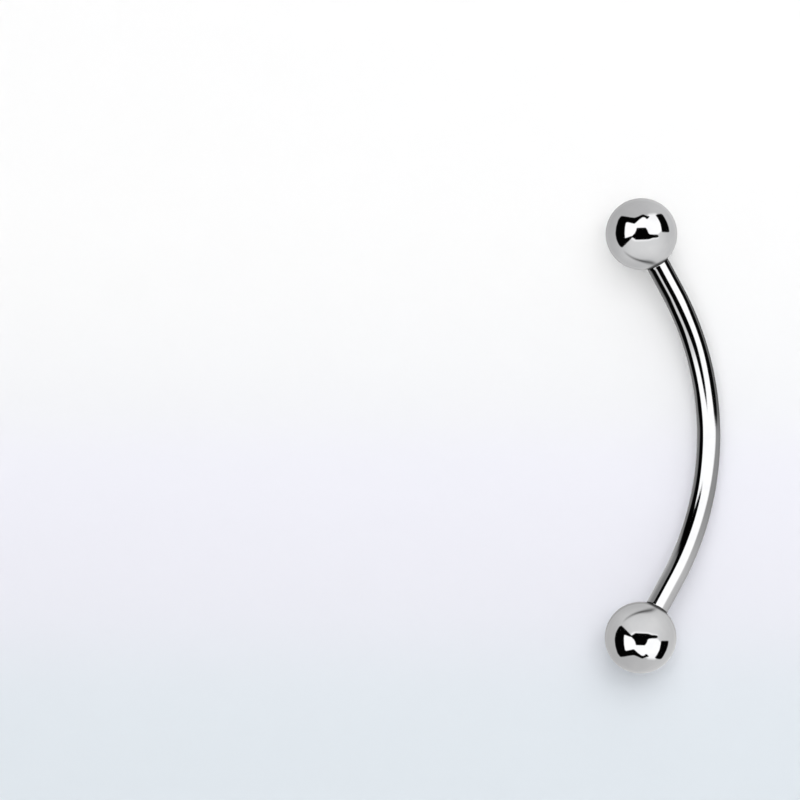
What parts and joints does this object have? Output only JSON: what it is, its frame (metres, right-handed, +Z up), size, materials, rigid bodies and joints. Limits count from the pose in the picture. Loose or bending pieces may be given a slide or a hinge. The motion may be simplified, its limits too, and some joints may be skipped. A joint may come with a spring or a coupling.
{
  "type": "curved nipple barbell",
  "caption": "Curved round bar for a piercing with a polished threaded ball that unscrews from each end; lies flat on a surface.",
  "frame": {"origin": "on the surface that the barbell lies on, under the middle of its box", "axes": "+Y along the barbell from ball to ball, towards the ball that is at the top of the picture; +X towards the bulge of the bend; +Z up"},
  "size_m": [0.008, 0.0332, 0.005],
  "materials": {
    "polished_bar": "mirror-polished surgical steel with fine polishing lines along the bar",
    "polished_ball": "mirror-polished surgical steel"
  },
  "bodies": {
    "bar": {"bar": "polished_bar"},
    "ball_upper": {"ball_upper": "polished_ball"},
    "ball_lower": {"ball_lower": "polished_ball"}
  },
  "joints": [
    {"name": "unscrew_upper", "type": "slide", "parent": "bar", "child": "ball_upper", "axis": [-0.4712, 0.866, 0.1673], "range_m": [0, 0.003]},
    {"name": "unscrew_lower", "type": "slide", "parent": "bar", "child": "ball_lower", "axis": [-0.4712, -0.866, 0.1673], "range_m": [0, 0.003]}
  ]
}
